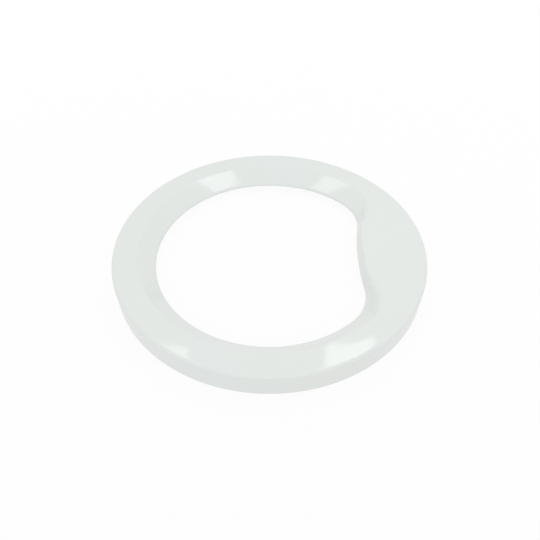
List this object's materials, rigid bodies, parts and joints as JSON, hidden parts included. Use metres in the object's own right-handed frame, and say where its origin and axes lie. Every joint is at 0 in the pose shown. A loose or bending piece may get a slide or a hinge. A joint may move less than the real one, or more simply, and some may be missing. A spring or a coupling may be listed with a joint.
{
  "type": "washing machine door trim ring",
  "caption": "White moulded ring that trims a front-loading washing machine's door, with a dished inner slope, a pull grip on one side and a hollow back for the inner frame.",
  "frame": {"origin": "centre of the foot plane, on the ring's axis", "axes": "+Z out of the face, +X through the middle of the grip"},
  "size_m": [0.46, 0.46, 0.0358],
  "materials": {
    "white_plastic": "glossy moulded white plastic"
  },
  "bodies": {
    "root": {"door_trim_ring": "white_plastic"}
  },
  "joints": []
}
